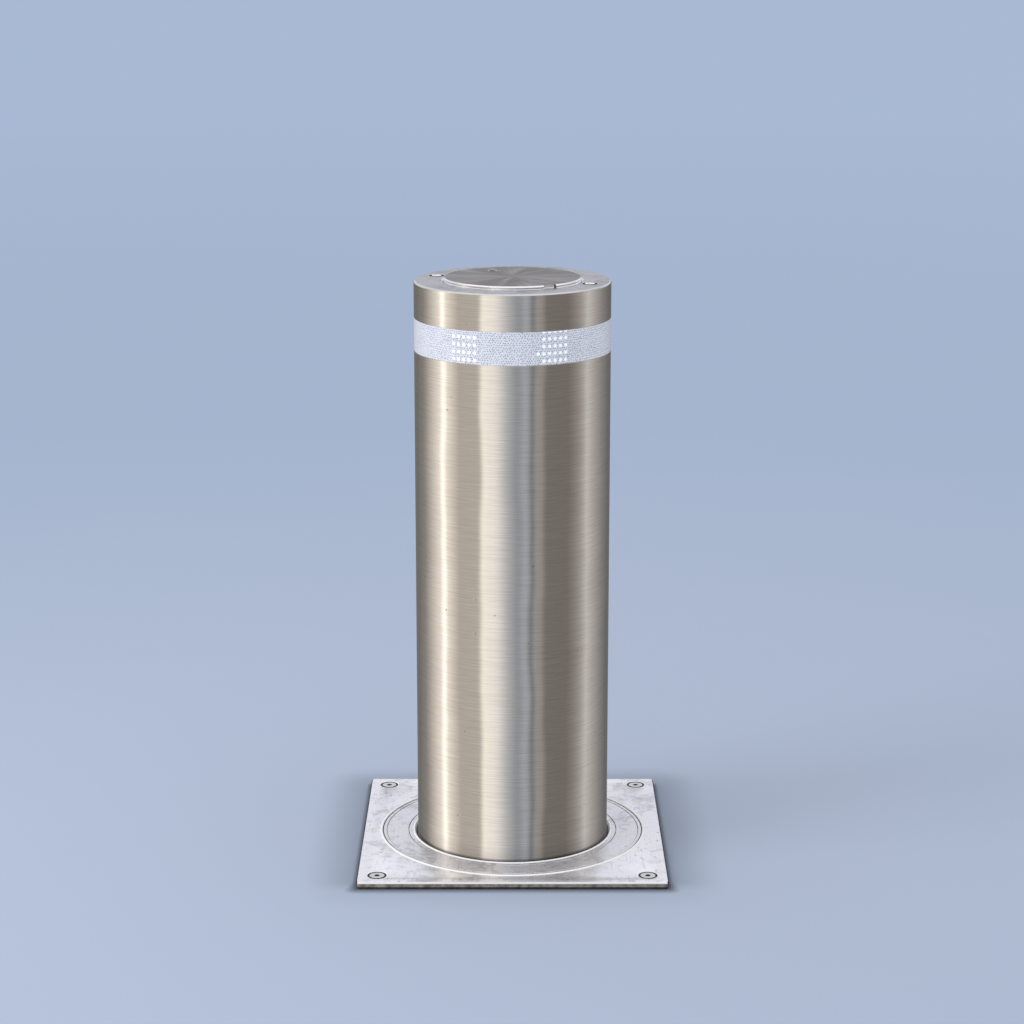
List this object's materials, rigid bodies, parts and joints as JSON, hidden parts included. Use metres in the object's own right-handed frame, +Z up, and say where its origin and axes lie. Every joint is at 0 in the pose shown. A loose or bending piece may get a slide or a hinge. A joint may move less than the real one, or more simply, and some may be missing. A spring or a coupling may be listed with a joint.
{
  "type": "semi-automatic bollard",
  "caption": "Brushed stainless retractable bollard with reflective band, square ground plate, cover ring and a buried pit with gas-spring lift and key lock.",
  "frame": {"origin": "on the tube's axis at ground level, the plane of the plate's resting rim", "axes": "+Z up along the tube, +X to the right as seen in the picture, +Y away from the viewer"},
  "size_m": [0.505, 0.49, 1.9695],
  "materials": {
    "tube_stainless": "satin",
    "cover_stainless": "satin",
    "plate_stainless": "satin",
    "screw_stainless": "satin",
    "galvanised_steel": "satin",
    "bright_steel": "polished",
    "zinc_steel": "satin",
    "cylinder_black": "gloss",
    "black_rubber": "matte",
    "guide_nylon": "matte",
    "bush_bronze": "satin",
    "reflective_tape": "satin",
    "lock_steel": "satin"
  },
  "bodies": {
    "pit": {"casing_front": "galvanised_steel", "casing_back": "galvanised_steel", "casing_left": "galvanised_steel", "casing_right": "galvanised_steel", "pit_floor": "galvanised_steel", "corner_lugs": "galvanised_steel", "anchor_lugs": "galvanised_steel", "drain_socket": "galvanised_steel", "flange_plate": "plate_stainless", "plate_screw_1": "screw_stainless", "plate_screw_2": "screw_stainless", "plate_screw_3": "screw_stainless", "plate_screw_4": "screw_stainless", "cover_ring": "plate_stainless", "ring_studs": "zinc_steel", "wiper_retainer": "plate_stainless", "wiper_seal": "black_rubber", "upper_guide_ring": "guide_nylon", "chassis_head": "galvanised_steel", "guide_column_1": "bright_steel", "guide_column_2": "bright_steel", "guide_column_3": "bright_steel", "guide_column_4": "bright_steel", "column_nuts": "zinc_steel", "stop_sleeves": "galvanised_steel", "stop_buffers": "black_rubber", "chassis_base": "galvanised_steel", "strike_bar": "galvanised_steel", "base_buffers": "black_rubber", "spring_foot_bracket": "galvanised_steel", "spring_foot_pin": "bright_steel", "gas_spring_rod": "bright_steel"},
    "bollard": {"bollard_tube": "tube_stainless", "head_ring": "tube_stainless", "lifting_plug_1": "screw_stainless", "lifting_plug_2": "screw_stainless", "head_bridge": "galvanised_steel", "lock_barrel": "lock_steel", "spring_head_bracket": "galvanised_steel", "spring_head_pin": "bright_steel", "gas_spring_body": "cylinder_black", "gas_spring_gland": "cylinder_black", "foot_plate": "galvanised_steel", "foot_bush_1": "bush_bronze", "foot_bush_2": "bush_bronze", "foot_bush_3": "bush_bronze", "foot_bush_4": "bush_bronze", "bolt_housing": "galvanised_steel", "cam_bridge": "galvanised_steel", "reflective_band": "reflective_tape"},
    "head_cover": {"head_cover": "cover_stainless", "cover_seal": "black_rubber"},
    "lock_shaft": {"key_rotor": "lock_steel", "lock_shaft": "lock_steel", "lock_cam": "lock_steel"},
    "lock_bolt": {"lock_bolt": "lock_steel", "follower_pin": "lock_steel"}
  },
  "joints": [
    {"name": "cylinder_slide", "type": "slide", "parent": "pit", "child": "bollard", "axis": [0, 0, 1], "range_m": [-0.8, 0], "stiffness_N_per_m": 250, "springref_m": 3.24},
    {"name": "head_cover_lift", "type": "slide", "parent": "bollard", "child": "head_cover", "axis": [0, 0, 1], "range_m": [0, 0.03]},
    {"name": "key_turn", "type": "hinge", "parent": "bollard", "child": "lock_shaft", "pos_m": [-0.028, 0.058, 0.8], "axis": [0, 0, 1], "range_deg": [0, 90]},
    {"name": "bolt_slide", "type": "slide", "parent": "bollard", "child": "lock_bolt", "axis": [0, 1, 0], "range_m": [0, 0.016]}
  ],
  "couplings": [
    {"joint": "bolt_slide", "follows": "key_turn", "m_per_rad": 0.010185}
  ]
}
